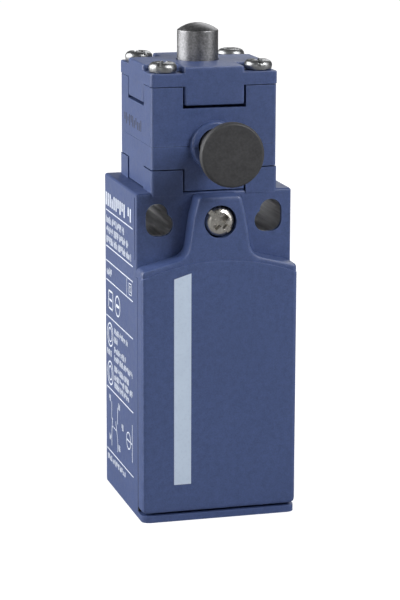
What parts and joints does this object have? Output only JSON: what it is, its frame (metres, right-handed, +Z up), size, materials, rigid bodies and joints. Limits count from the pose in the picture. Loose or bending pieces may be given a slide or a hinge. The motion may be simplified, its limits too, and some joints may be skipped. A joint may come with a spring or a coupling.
{
  "type": "limit switch",
  "caption": "Compact plastic limit switch with a domed end plunger, a latching head reset by a pull knob, a tilting front cover and screw terminals inside.",
  "frame": {"origin": "on the mounting face, on the middle plane, level with the centres of the round fixing holes", "axes": "+Z up along the plunger's axis, +Y out of the mounting face into the wall, +X to the right of someone facing the switch"},
  "size_m": [0.03, 0.038, 0.0923],
  "materials": {
    "case_plastic": "fine moulded grain, slate blue",
    "knob_plastic": "fine matt grain, black",
    "sleeve_steel": "drawn tube, dull grey with streaks along the hole",
    "block_plastic": "smooth, black",
    "ivory_plastic": "smooth, ivory",
    "nitrile": "matt, black",
    "plunger_steel": "fine turned and tumbled",
    "zinc_plate": "zinc plate",
    "nickel_plate": "satin nickel plate",
    "spring_steel": "drawn wire",
    "brass": "machined",
    "contact_silver": "silver plate"
  },
  "bodies": {
    "case": {"base_case": "case_plastic", "fixing_sleeve_left": "sleeve_steel", "fixing_sleeve_right": "sleeve_steel", "cover_insert": "brass", "case_gasket": "nitrile", "reset_housing_lower": "case_plastic", "reset_housing_upper": "case_plastic", "head_cap": "case_plastic", "plunger_bush": "brass", "plunger_seal": "nitrile", "cap_gasket": "nitrile", "head_screw_front_left": "zinc_plate", "head_screw_front_right": "zinc_plate", "head_screw_rear_left": "zinc_plate", "head_screw_rear_right": "zinc_plate", "return_spring": "spring_steel", "latch_spring": "spring_steel", "carrier_spring": "spring_steel", "contact_housing": "block_plastic", "contact_lid": "ivory_plastic", "fixed_contact_upper_left": "brass", "fixed_contact_upper_right": "brass", "fixed_contact_lower_left": "brass", "fixed_contact_lower_right": "brass", "terminal_clamp_upper_left": "zinc_plate", "terminal_clamp_upper_right": "zinc_plate", "terminal_clamp_lower_left": "zinc_plate", "terminal_clamp_lower_right": "zinc_plate", "terminal_screw_upper_left": "zinc_plate", "terminal_screw_upper_right": "zinc_plate", "terminal_screw_lower_left": "zinc_plate", "terminal_screw_lower_right": "zinc_plate"},
    "cover": {"front_cover": "case_plastic", "cover_gasket": "nitrile", "cover_screw": "nickel_plate"},
    "plunger": {"plunger": "plunger_steel", "push_rod": "ivory_plastic"},
    "carrier": {"contact_carrier": "ivory_plastic", "contact_bridge_closed": "contact_silver", "contact_bridge_open": "contact_silver", "contact_spring_closed": "spring_steel", "contact_spring_open": "spring_steel"},
    "reset": {"reset_knob": "knob_plastic", "reset_stem": "knob_plastic", "latch_slide": "plunger_steel"}
  },
  "joints": [
    {"name": "cover_tilt", "type": "hinge", "parent": "case", "child": "cover", "pos_m": [0, -0.02905, -0.05351], "axis": [1, 0, 0], "range_deg": [0, 90]},
    {"name": "plunger_press", "type": "slide", "parent": "case", "child": "plunger", "axis": [0, 0, -1], "range_m": [0, 0.005], "stiffness_N_per_m": 1500, "springref_m": -0.003, "deforming": ["return_spring"]},
    {"name": "carrier_follow", "type": "slide", "parent": "case", "child": "carrier", "axis": [0, 0, -1], "range_m": [0, 0.005], "deforming": ["carrier_spring"]},
    {"name": "reset_pull", "type": "slide", "parent": "case", "child": "reset", "axis": [0, -1, 0], "range_m": [0, 0.0025], "stiffness_N_per_m": 800, "springref_m": -0.002, "deforming": ["latch_spring"]}
  ],
  "couplings": [
    {"joint": "carrier_follow", "follows": "plunger_press", "ratio": 1}
  ]
}
